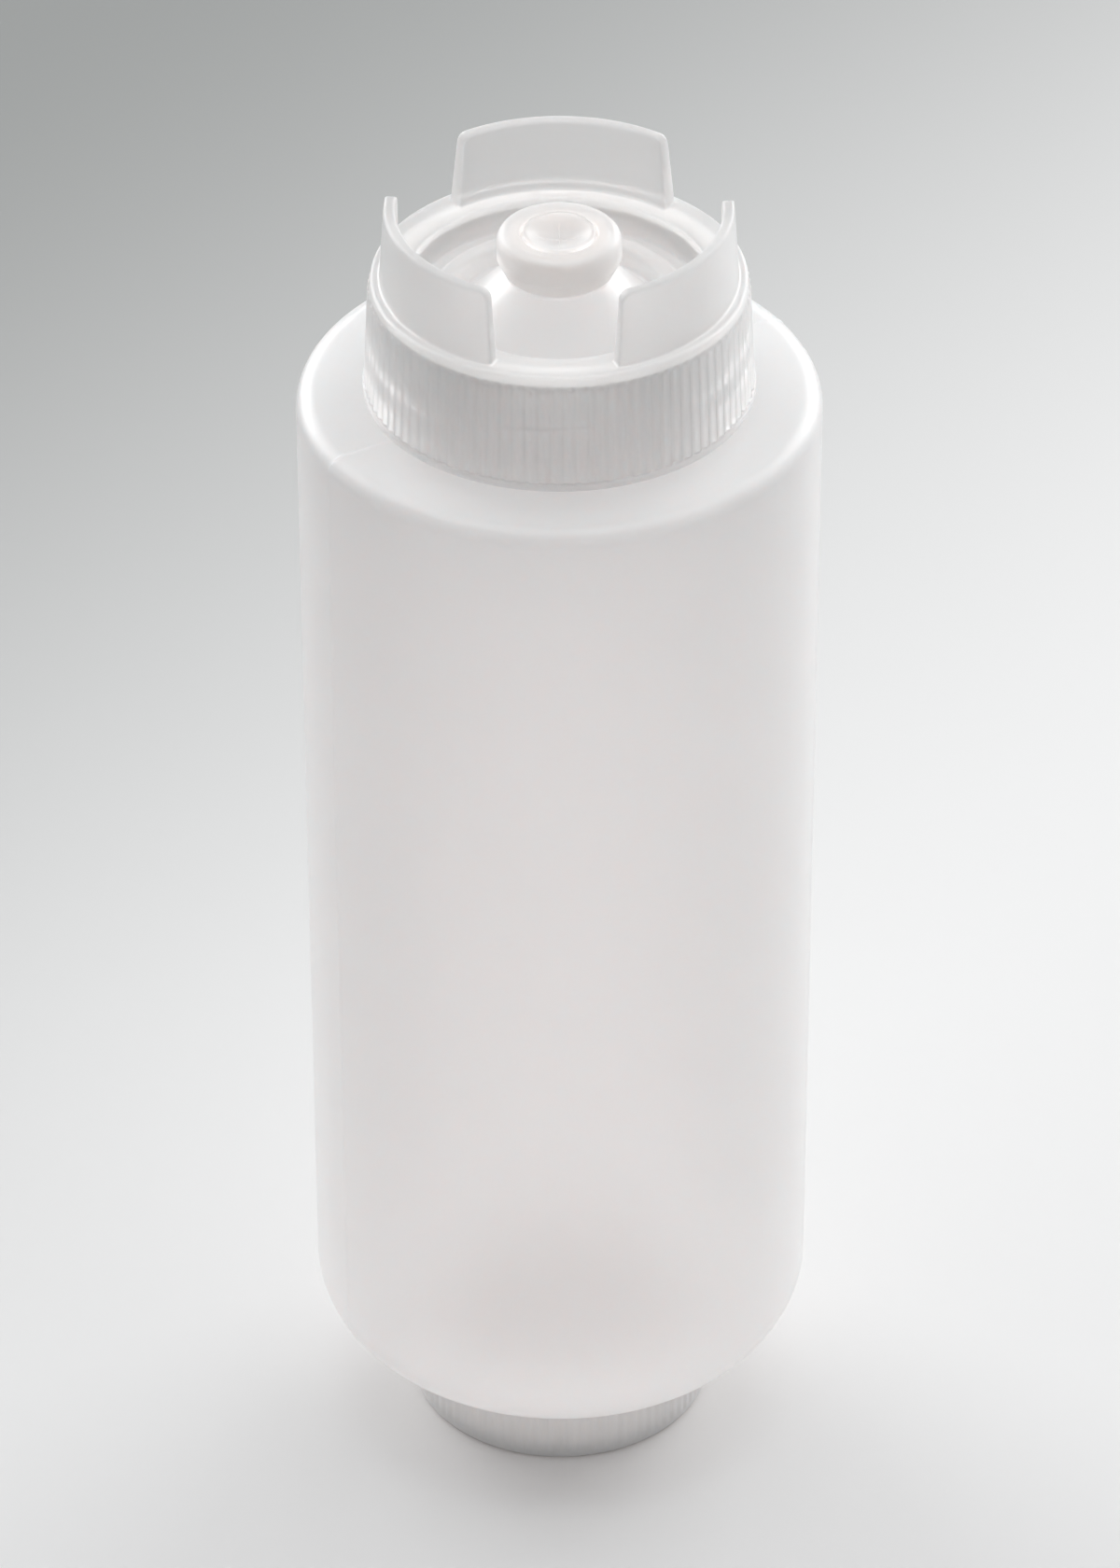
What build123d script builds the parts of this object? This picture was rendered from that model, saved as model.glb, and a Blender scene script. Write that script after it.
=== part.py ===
from build123d import *

import os
from math import atan2, cos, radians, sin, sqrt

os.makedirs("parts", exist_ok=True)

# A two-ended squeeze bottle. It is filled through the wide refill neck at the bottom and squeezed out
# through the slit valve in the crowned cap at the top. All lengths are in millimetres. The bottle
# stands on its refill cap: the origin is the centre of that cap's end face, and +Z runs up the common
# axis of every piece. The gap of the crown that faces the viewer is towards -Y.

# Bottle
body_diameter = 76.0
body_length = 169.2
body_wall = 1.2
upper_shoulder_round = 2.7
lower_shoulder_round = 10.0
neck_root_round = 0.8
lip_round = 0.3

# Dispensing neck, at the top
neck_diameter = 48.6
neck_wall = 1.55
neck_height = 15.7

# Refill neck, at the bottom
refill_neck_diameter = 41.0
refill_neck_wall = 1.6
refill_neck_height = 12.5

# Play between pieces: room for the threads, and gaps that let the pieces turn and slide
thread_room = 1.3
shoulder_gap = 0.7
plug_clearance = 0.25
washer_clearance = 0.4
ring_clearance = 0.1
head_clearance = 0.3

# Sealing washers
washer_thickness = 1.4
refill_washer_thickness = 1.4

# Dispensing cap: ribbed skirt with a smooth bead round its rim, and the deck it hangs from
skirt_wall = 1.3
skirt_rim_wall = 1.6
skirt_draft = 0.5
bead_height = 1.2
bead_proud = 0.65
bead_round = 0.4
deck_thickness = 2.0
deck_fall = 0.5
deck_edge_round = 0.5
well_edge_round = 0.4

# Grip ribs, the same form on both caps
rib_count = 96
refill_rib_count = 88
rib_height = 0.5
rib_foot_width = 1.15
rib_crest_width = 0.45
rib_end_slope = 0.4
rib_stop = 1.8
rib_root = 0.4

# Dispensing cap: the sunk well inside the neck. From its wall inwards come a strip of flat floor, a
# raised ring and a narrow moat round the foot of the spout
well_wall = 1.2
well_draft = 0.2
well_depth = 5.2
floor_thickness = 1.4
plug_lead_in = 0.5
floor_width = 2.4
raised_ring_width = 3.4
raised_ring_height = 1.4
raised_ring_round = 1.1
moat_depth = 1.4
moat_width = 0.8

# Dispensing cap: the conical spout and the stub that carries the valve
spout_shoulder_diameter = 15.4
spout_rise = 7.1
spout_wall = 1.5
spout_edge_round = 0.3
stub_diameter = 14.4
stub_bore = 10.4
stub_rise = 4.1
snap_height = 0.3
snap_rise = 1.7
snap_length = 1.2

# Dispensing cap: the crown of prongs that the bottle stands on when it is turned over
prong_count = 3
crown_heading = 88.5
prong_height = 11.4
prong_inset = 1.2
prong_foot_wall = 2.4
prong_tip_wall = 1.7
prong_lean = 0.8
prong_foot_angle = 79.0
prong_tip_angle = 75.0
prong_corner_round = 1.5
prong_edge_round = 0.35
prong_sink = 0.9

# Slit valve: a flange under the snap ring and a dished head that stands up through it
valve_flange_diameter = 14.0
valve_flange_thickness = 1.2
valve_head_diameter = 10.4
valve_head_rise = 1.4
valve_head_rim = 0.5
valve_dish_depth = 1.7
valve_skin = 0.9

# Snap ring that holds the valve on the stub
ring_diameter = 17.9
ring_foot_diameter = 15.8
ring_foot_gap = 0.6
ring_taper_height = 2.2
ring_lip_thickness = 1.7
ring_lip_fall = 0.5
ring_edge_round = 0.8

# Refill cap
refill_end_thickness = 1.8
refill_end_round = 1.0
refill_skirt_wall = 1.4
refill_bead_proud = 0.6

# Levels, from the standing face upwards
refill_washer_z = refill_end_thickness
refill_lip_z = refill_washer_z + refill_washer_thickness
lower_shoulder_z = refill_lip_z + refill_neck_height
refill_rim_z = lower_shoulder_z - shoulder_gap
upper_shoulder_z = lower_shoulder_z + body_length
rim_z = upper_shoulder_z + shoulder_gap
lip_z = upper_shoulder_z + neck_height
deck_under_z = lip_z + washer_thickness
deck_z = deck_under_z + deck_thickness
tip_z = deck_z + prong_height
floor_z = deck_z - well_depth
floor_under_z = floor_z - floor_thickness
raised_ring_z = floor_z + raised_ring_height
moat_z = floor_z - moat_depth
moat_under_z = moat_z - floor_thickness
spout_shoulder_z = moat_z + spout_rise
stub_z = spout_shoulder_z + stub_rise
flange_z = stub_z + valve_flange_thickness
head_z = flange_z + valve_head_rise
ring_foot_z = spout_shoulder_z + ring_foot_gap
ring_z = flange_z + ring_lip_thickness

# Radii, each worked out from what the piece fits round or into
body_radius = body_diameter / 2
neck_radius = neck_diameter / 2
neck_bore_radius = neck_radius - neck_wall
skirt_bore_radius = neck_radius + thread_room
skirt_radius = skirt_bore_radius + skirt_wall
skirt_rim_bore_radius = skirt_bore_radius + skirt_draft
skirt_rim_radius = skirt_rim_bore_radius + skirt_rim_wall
plug_radius = neck_bore_radius - plug_clearance
well_radius = plug_radius - well_wall
raised_ring_outer_radius = well_radius - floor_width
raised_ring_inner_radius = raised_ring_outer_radius - raised_ring_width
spout_foot_radius = raised_ring_inner_radius - moat_width
spout_shoulder_radius = spout_shoulder_diameter / 2
stub_radius = stub_diameter / 2
stub_bore_radius = stub_bore / 2
refill_neck_radius = refill_neck_diameter / 2
refill_neck_bore_radius = refill_neck_radius - refill_neck_wall
refill_bore_radius = refill_neck_radius + thread_room
refill_radius = refill_bore_radius + refill_skirt_wall


def outline(*corners):
    """Draw a closed outline in the open BuildLine from (radius, height, corner round) triples."""
    points = [(radius, height) for radius, height, _ in corners]
    FilletPolyline(*points, radius=[corner for _, _, corner in corners], close=True)


def rib_outline(radius):
    """Draw a grip rib's trapezium in the open BuildLine, rooted in a wall of this outer radius."""
    Polyline(
        (radius - rib_root, rib_foot_width / 2),
        (radius, rib_foot_width / 2),
        (radius + rib_height, rib_crest_width / 2),
        (radius + rib_height, -rib_crest_width / 2),
        (radius, -rib_foot_width / 2),
        (radius - rib_root, -rib_foot_width / 2),
        close=True,
    )


# Bottle: one thin-walled shell that is open through both necks
with BuildPart() as bottle:
    with BuildSketch(Plane.XZ):
        with BuildLine():
            outline(
                (0, refill_lip_z, 0),
                (refill_neck_radius, refill_lip_z, lip_round),
                (refill_neck_radius, lower_shoulder_z, neck_root_round),
                (body_radius, lower_shoulder_z, lower_shoulder_round),
                (body_radius, upper_shoulder_z, upper_shoulder_round),
                (neck_radius, upper_shoulder_z, neck_root_round),
                (neck_radius, lip_z, lip_round),
                (0, lip_z, 0),
            )
        make_face()
    revolve(axis=Axis.Z)
    with BuildSketch(Plane.XZ):
        with BuildLine():
            outline(
                (0, refill_lip_z, 0),
                (refill_neck_bore_radius, refill_lip_z, 0),
                (refill_neck_bore_radius, lower_shoulder_z + body_wall, neck_root_round),
                (body_radius - body_wall, lower_shoulder_z + body_wall, lower_shoulder_round - body_wall),
                (body_radius - body_wall, upper_shoulder_z - body_wall, upper_shoulder_round - body_wall),
                (neck_bore_radius, upper_shoulder_z - body_wall, neck_root_round),
                (neck_bore_radius, lip_z, 0),
                (0, lip_z, 0),
            )
        make_face()
    revolve(axis=Axis.Z, mode=Mode.SUBTRACT)

# One grip rib of the dispensing cap: a bar of trapezium section that follows the skirt's draft from
# the bead up to just below the deck, with a sloped upper end
rib_foot_z = rim_z + bead_height
rib_top_z = deck_z - rib_stop
rib_top_radius = skirt_radius + (skirt_rim_radius - skirt_radius) * rib_stop / (deck_z - rib_foot_z)
with BuildPart() as rib:
    for level, radius in ((rib_foot_z - rib_root, skirt_rim_radius), (rib_top_z, rib_top_radius)):
        with BuildSketch(Plane.XY.offset(level)):
            with BuildLine():
                rib_outline(radius)
            make_face()
    loft(ruled=True)
    chamfer(rib.faces().sort_by(Axis.Z)[-1].edges().sort_by(Axis.X)[-1], length=rib_end_slope)

# One prong of the crown: a slice of a leaning ring wall, cut back at both ends and rounded at the tip,
# first in its two corners and then along its outer and inner edges
prong_foot_radius = skirt_radius - prong_inset
prong_foot_bore_radius = prong_foot_radius - prong_foot_wall
prong_tip_radius = prong_foot_radius - prong_lean
with BuildPart() as prong:
    with BuildSketch(Plane.XZ):
        with BuildLine():
            outline(
                (prong_foot_bore_radius, deck_z - prong_sink, 0),
                (prong_foot_radius, deck_z - prong_sink, 0),
                (prong_foot_radius, deck_z, 0),
                (prong_tip_radius, tip_z, 0),
                (prong_tip_radius - prong_tip_wall, tip_z, 0),
                (prong_foot_bore_radius, deck_z, 0),
            )
        make_face()
    revolve(axis=Axis.Z, revolution_arc=prong_foot_angle)
    end_lean = radians(prong_foot_angle - prong_tip_angle) / 2
    for end_angle, turn in ((0, 1), (radians(prong_foot_angle), -1)):
        outward = Vector(cos(end_angle), sin(end_angle), 0)
        along = Vector(-sin(end_angle), cos(end_angle), 0) * turn
        rise = Vector(0, 0, prong_height) + along * (prong_foot_radius * end_lean)
        split(
            bisect_by=Plane(
                origin=outward * prong_foot_radius + Vector(0, 0, deck_z),
                x_dir=outward,
                z_dir=outward.cross(rise) * turn,
            ),
            keep=Keep.BOTTOM,
        )
    fillet(
        prong.faces().sort_by(Axis.Z)[-1].edges().filter_by(GeomType.LINE),
        radius=prong_corner_round,
    )
    fillet(
        prong.faces().sort_by(Axis.Z)[-1].edges().filter_by(GeomType.CIRCLE),
        radius=prong_edge_round,
    )

# Dispensing cap: skirt, deck, well, spout and crown in one moulding
cone_angle = atan2(spout_rise, spout_foot_radius - spout_shoulder_radius)
cone_setback = spout_wall / sin(cone_angle)
cone_spread = cos(cone_angle) / sin(cone_angle)
cone_foot_bore_radius = spout_foot_radius + floor_thickness * cone_spread - cone_setback
cone_top_z = moat_under_z + (cone_foot_bore_radius - stub_bore_radius) / cone_spread
snap_z = spout_shoulder_z + snap_rise
with BuildPart() as dispensing_cap:
    with BuildSketch(Plane.XZ):
        with BuildLine():
            outline(
                (skirt_rim_bore_radius, rim_z, 0),
                (skirt_rim_radius + bead_proud, rim_z, bead_round),
                (skirt_rim_radius + bead_proud, rib_foot_z, bead_round),
                (skirt_rim_radius, rib_foot_z, 0),
                (skirt_radius, deck_z, deck_edge_round),
                (well_radius + well_draft, deck_z - deck_fall, well_edge_round),
                (well_radius, floor_z, well_edge_round),
                (raised_ring_outer_radius, floor_z, well_edge_round),
                (raised_ring_outer_radius, raised_ring_z, raised_ring_round),
                (raised_ring_inner_radius, raised_ring_z, raised_ring_round),
                (raised_ring_inner_radius, moat_z, 0),
                (spout_foot_radius, moat_z, 0),
                (spout_shoulder_radius, spout_shoulder_z, spout_edge_round),
                (stub_radius, spout_shoulder_z, 0),
                (stub_radius, snap_z, 0),
                (stub_radius + snap_height, snap_z + snap_length / 2, 0),
                (stub_radius, snap_z + snap_length, 0),
                (stub_radius, stub_z, 0),
                (stub_bore_radius, stub_z, 0),
                (stub_bore_radius, cone_top_z, 0),
                (cone_foot_bore_radius, moat_under_z, 0),
                (raised_ring_inner_radius + floor_thickness, moat_under_z, 0),
                (raised_ring_inner_radius + floor_thickness, floor_under_z, 0),
                (plug_radius, floor_under_z, plug_lead_in),
                (plug_radius, deck_under_z, 0),
                (skirt_bore_radius, deck_under_z, 0),
            )
        make_face()
    revolve(axis=Axis.Z)
    with PolarLocations(0, rib_count):
        add(rib.part)
    with PolarLocations(0, prong_count, start_angle=crown_heading - prong_foot_angle / 2):
        add(prong.part)

# Washer that the dispensing cap presses on the neck's lip
with BuildPart() as dispensing_washer:
    with BuildSketch(Plane.XY.offset(lip_z)):
        Circle(skirt_bore_radius - washer_clearance)
        Circle(plug_radius + washer_clearance, mode=Mode.SUBTRACT)
    extrude(amount=washer_thickness)

# Slit valve: two arcs about one centre make the even skin of the dish
valve_head_radius = valve_head_diameter / 2
dish_edge_radius = valve_head_radius - valve_head_rim
dish_z = head_z - valve_dish_depth
dish_curve = (dish_edge_radius**2 + valve_dish_depth**2) / (2 * valve_dish_depth)
sleeve_radius = valve_head_radius - valve_skin
under_curve = dish_curve + valve_skin
sleeve_top_z = dish_z + dish_curve - sqrt(under_curve**2 - sleeve_radius**2)
with BuildPart() as valve:
    with BuildSketch(Plane.XZ):
        with BuildLine():
            dish = TangentArc((0, dish_z), (dish_edge_radius, head_z), tangent=(1, 0))
            Polyline(
                dish @ 1,
                (valve_head_radius, head_z),
                (valve_head_radius, flange_z),
                (valve_flange_diameter / 2, flange_z),
                (valve_flange_diameter / 2, stub_z),
                (sleeve_radius, stub_z),
                (sleeve_radius, sleeve_top_z),
            )
            under = TangentArc((0, dish_z - valve_skin), (sleeve_radius, sleeve_top_z), tangent=(1, 0))
            Line(under @ 0, dish @ 0)
        make_face()
    revolve(axis=Axis.Z)

# Snap ring: its lip clamps the valve's flange, and its groove catches the bead on the stub
ring_bore_radius = stub_radius + ring_clearance
ring_outer_radius = ring_diameter / 2
ring_mouth_radius = valve_head_radius + head_clearance
with BuildPart() as valve_ring:
    with BuildSketch(Plane.XZ):
        with BuildLine():
            outline(
                (ring_bore_radius, ring_foot_z, 0),
                (ring_foot_diameter / 2, ring_foot_z, 0),
                (ring_outer_radius, ring_foot_z + ring_taper_height, 0),
                (ring_outer_radius, ring_z, ring_edge_round),
                (ring_mouth_radius, ring_z - ring_lip_fall, 0),
                (ring_mouth_radius, flange_z, 0),
                (ring_bore_radius, flange_z, 0),
                (ring_bore_radius, snap_z + snap_length, 0),
                (ring_bore_radius + snap_height, snap_z + snap_length / 2, 0),
                (ring_bore_radius, snap_z, 0),
            )
        make_face()
    revolve(axis=Axis.Z)

# Washer between the refill cap's end plate and the lip of the refill neck
with BuildPart() as refill_washer:
    with BuildSketch(Plane.XY.offset(refill_washer_z)):
        Circle(refill_bore_radius - washer_clearance)
        Circle(refill_neck_bore_radius, mode=Mode.SUBTRACT)
    extrude(amount=refill_washer_thickness)

# One grip rib of the refill cap
refill_rib_top_z = refill_rim_z - bead_height
with BuildPart() as refill_rib:
    with BuildSketch(Plane.XY.offset(refill_end_round)):
        with BuildLine():
            rib_outline(refill_radius)
        make_face()
    extrude(amount=refill_rib_top_z + rib_root - refill_end_round)
    chamfer(refill_rib.faces().sort_by(Axis.Z)[0].edges().sort_by(Axis.X)[-1], length=rib_end_slope)

# Refill cap: the end plate that the bottle stands on and its ribbed skirt
with BuildPart() as refill_cap:
    with BuildSketch(Plane.XZ):
        with BuildLine():
            outline(
                (0, 0, 0),
                (refill_radius, 0, refill_end_round),
                (refill_radius, refill_rib_top_z, 0),
                (refill_radius + refill_bead_proud, refill_rib_top_z, bead_round),
                (refill_radius + refill_bead_proud, refill_rim_z, bead_round),
                (refill_bore_radius, refill_rim_z, 0),
                (refill_bore_radius, refill_end_thickness, 0),
                (0, refill_end_thickness, 0),
            )
        make_face()
    revolve(axis=Axis.Z)
    with PolarLocations(0, refill_rib_count):
        add(refill_rib.part)

pieces = {
    "bottle": bottle,
    "dispensing_cap": dispensing_cap,
    "dispensing_washer": dispensing_washer,
    "valve": valve,
    "valve_ring": valve_ring,
    "refill_washer": refill_washer,
    "refill_cap": refill_cap,
}
for name, piece in pieces.items():
    piece.part.label = name
    export_step(piece.part, f"parts/{name}.step")
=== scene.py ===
"""Looks of a two-ended squeeze bottle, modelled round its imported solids.

Lengths are in millimetres until a mesh is made. Headings are angles about the common axis, in radians
from +X, and the viewer's side is towards -Y. Outlines are drawn in the plane of radius and height with
the material on their left, so that every face points outwards, and a place in that plane is the complex
number radius + height j.
"""

import cmath
import logging
import math
from dataclasses import dataclass
from enum import Enum
from typing import Mapping, Sequence

import bpy
import numpy as np
from mathutils import Matrix, Vector

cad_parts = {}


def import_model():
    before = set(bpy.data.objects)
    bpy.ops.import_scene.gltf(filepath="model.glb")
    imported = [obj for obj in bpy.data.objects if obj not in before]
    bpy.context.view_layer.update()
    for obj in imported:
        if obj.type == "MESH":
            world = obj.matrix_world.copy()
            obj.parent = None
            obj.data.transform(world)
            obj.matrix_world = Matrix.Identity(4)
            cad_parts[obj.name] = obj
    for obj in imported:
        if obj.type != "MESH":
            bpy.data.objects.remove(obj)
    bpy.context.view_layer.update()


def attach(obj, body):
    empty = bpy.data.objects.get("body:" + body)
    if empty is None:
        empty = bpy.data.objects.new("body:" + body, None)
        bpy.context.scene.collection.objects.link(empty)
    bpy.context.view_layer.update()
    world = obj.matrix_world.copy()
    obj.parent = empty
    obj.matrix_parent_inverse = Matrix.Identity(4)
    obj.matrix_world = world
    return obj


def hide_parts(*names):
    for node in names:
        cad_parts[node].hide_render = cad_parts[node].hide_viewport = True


log = logging.getLogger("squeeze_bottle")

MM = 0.001
TURN = 2.0 * math.pi
FRONT = -0.25 * TURN
RIB_ZONE = "rib_zone"
TINY = 1e-6


def smoothstep(value: np.ndarray | float) -> np.ndarray:
    """Return a smooth rise from 0 to 1 as the value goes from 0 to 1."""
    bounded = np.clip(value, 0.0, 1.0)
    return bounded * bounded * (3.0 - 2.0 * bounded)


def even_headings(count: int) -> np.ndarray:
    """Return evenly spaced headings round one turn, from the viewer's side on."""
    return FRONT + TURN * np.arange(count) / count


class Run(Enum):
    """What a run of an outline carries."""

    PLAIN = "plain"
    RIBS = "ribs"
    SEAM = "seam"
    THREAD = "thread"
    REFILL_THREAD = "refill thread"


@dataclass(frozen=True)
class Corner:
    """A corner of an outline.

    Attributes:
        radius: Distance from the axis.
        height: Level above the standing face.
        round: Radius of the round on this corner, or 0 where it is sharp.
        steps: Number of equal steps on the straight run that follows the corner.
        run: What that run carries, and the corner's own round too.
    """

    radius: float
    height: float
    round: float = 0.0
    steps: int = 1
    run: Run = Run.PLAIN


@dataclass(frozen=True)
class Station:
    """A place on a traced outline, with the outward direction there and what its run carries."""

    place: complex
    out: complex
    run: Run = Run.PLAIN


@dataclass(frozen=True)
class Tracer:
    """Turns corners into stations.

    Attributes:
        margin: Distance of the supporting stations from each end of a run.
        arc_turn: Largest turn between two stations of a small round.
        wide_arc_turn: The same for a wide round.
        wide_round: Rounds of this radius or more are wide.
    """

    margin: float = 0.25
    arc_turn: float = math.radians(18.0)
    wide_arc_turn: float = math.radians(6.0)
    wide_round: float = 2.0

    def trace(self, corners: Sequence[Corner]) -> list[Station]:
        """Follow an open outline from its first corner to its last.

        Args:
            corners: The corners in order. The first and the last one are sharp.

        Returns:
            The stations, with each round corner as an arc and each run in its steps.
        """
        places = [complex(corner.radius, corner.height) for corner in corners]
        stations: list[Station] = []
        for index, corner in enumerate(corners):
            arc = self._arc(places, index, corner)
            if stations:
                stations += self._run(stations[-1].place, arc[0].place, corners[index - 1])
            stations += arc
        return stations

    def _arc(self, places: Sequence[complex], index: int, corner: Corner) -> list[Station]:
        """Trace one corner.

        Args:
            places: Places of all corners.
            index: Index of this corner among them.
            corner: The corner.

        Returns:
            The stations on its round, or one station where it is sharp.
        """
        before = self._direction(places, max(index, 1))
        after = self._direction(places, min(index + 1, len(places) - 1))
        turn = cmath.phase(after / before)
        if corner.round <= 0.0 or abs(turn) < TINY:
            along = before + after
            return [Station(places[index], -1j * along / abs(along), corner.run)]
        side = math.copysign(corner.round, turn)
        start = places[index] - before * corner.round * math.tan(abs(turn) / 2.0)
        centre = start + 1j * before * side
        finest = self.wide_arc_turn if corner.round >= self.wide_round else self.arc_turn
        count = max(2, math.ceil(abs(turn) / finest))
        outs = [-1j * before * cmath.exp(1j * turn * step / count) for step in range(count + 1)]
        return [Station(centre + out * side, out, corner.run) for out in outs]

    @staticmethod
    def _direction(places: Sequence[complex], index: int) -> complex:
        """Return the unit direction of the run that ends at the corner with this index."""
        run = places[index] - places[index - 1]
        return run / abs(run)

    def _run(self, start: complex, end: complex, corner: Corner) -> list[Station]:
        """Trace a straight run.

        Args:
            start: Where it starts.
            end: Where it ends.
            corner: The corner before it, which has its number of steps and what it carries.

        Returns:
            The stations inside the run, without its two ends.
        """
        length = abs(end - start)
        if length < TINY:
            return []
        along = (end - start) / length
        if length > 4.0 * self.margin:
            reaches = np.linspace(self.margin, length - self.margin, corner.steps + 1)
        else:
            reaches = np.linspace(0.0, length, corner.steps + 1)[1:-1]
        return [Station(start + along * float(reach), -1j * along, corner.run) for reach in reaches]


@dataclass(frozen=True)
class Thread:
    """A right-handed screw thread.

    Attributes:
        lead: Rise in one turn.
        height: How far the crest stands out of the wall.
        foot_width: Width of the ridge at the wall.
        crest_width: Width of the ridge at its crest.
        front_level: Level of the ridge's middle on the viewer's side.
        low: Level of the ridge's middle where it starts.
        high: Level of the ridge's middle where it ends.
        run_out: Rise over which each end of the ridge fades into the wall.
    """

    lead: float
    height: float
    foot_width: float
    crest_width: float
    front_level: float
    low: float
    high: float
    run_out: float = 0.6

    def relief(self, headings: np.ndarray, level: float) -> np.ndarray:
        """Work out the ridge on one level.

        Args:
            headings: Headings to look at.
            level: Level above the standing face.

        Returns:
            How far the ridge stands out of the wall at each heading.
        """
        turns = (headings - FRONT) / TURN
        nearest = np.round((level - self.front_level) / self.lead - turns) + turns
        middle = self.front_level + self.lead * nearest
        slope = (self.foot_width - self.crest_width) / 2.0
        flank = 1.0 - smoothstep((np.abs(level - middle) - self.crest_width / 2.0) / slope)
        start = smoothstep((middle - self.low) / self.run_out)
        end = smoothstep((self.high - middle) / self.run_out)
        return self.height * flank * start * end


@dataclass(frozen=True)
class Seam:
    """The parting line that a mould leaves on two sides of a round wall.

    Attributes:
        radius: Radius of the wall.
        sides: Heading of the line on each side.
        height: How far it stands out of the wall.
        half_width: Distance from its middle to its foot.
        fitting: Where the columns of the mesh are moved to at a line, in half widths.
        clearance: Distance from a line that all other columns keep, in half widths.
    """

    radius: float
    sides: tuple[float, float] = (math.radians(30.0), math.radians(210.0))
    height: float = 0.11
    half_width: float = 0.34
    fitting: tuple[float, ...] = (-1.5, -0.5, 0.0, 0.5, 1.5)
    clearance: float = 2.2

    def away(self, headings: np.ndarray) -> np.ndarray:
        """Return how far each heading is from the nearer line, in half widths of the line."""
        turns = [np.abs(np.angle(np.exp(1j * (headings - side)))) for side in self.sides]
        return np.min(turns, axis=0) * self.radius / self.half_width

    def relief(self, headings: np.ndarray, _level: float) -> np.ndarray:
        """Return how far the line stands out of the wall at each heading, which is alike on all levels."""
        return self.height * (1.0 - smoothstep(self.away(headings)))

    def with_headings(self, headings: np.ndarray) -> np.ndarray:
        """Return headings in order, with those near the lines replaced by some that fit each line."""
        near = np.add.outer(self.sides, np.array(self.fitting) * self.half_width / self.radius)
        return np.sort(np.append(headings[self.away(headings) > self.clearance], near))


Relief = Thread | Seam


@dataclass(frozen=True)
class Ring:
    """A closed ring of vertices: their numbers in the shell and their headings."""

    numbers: np.ndarray
    headings: np.ndarray


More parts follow.
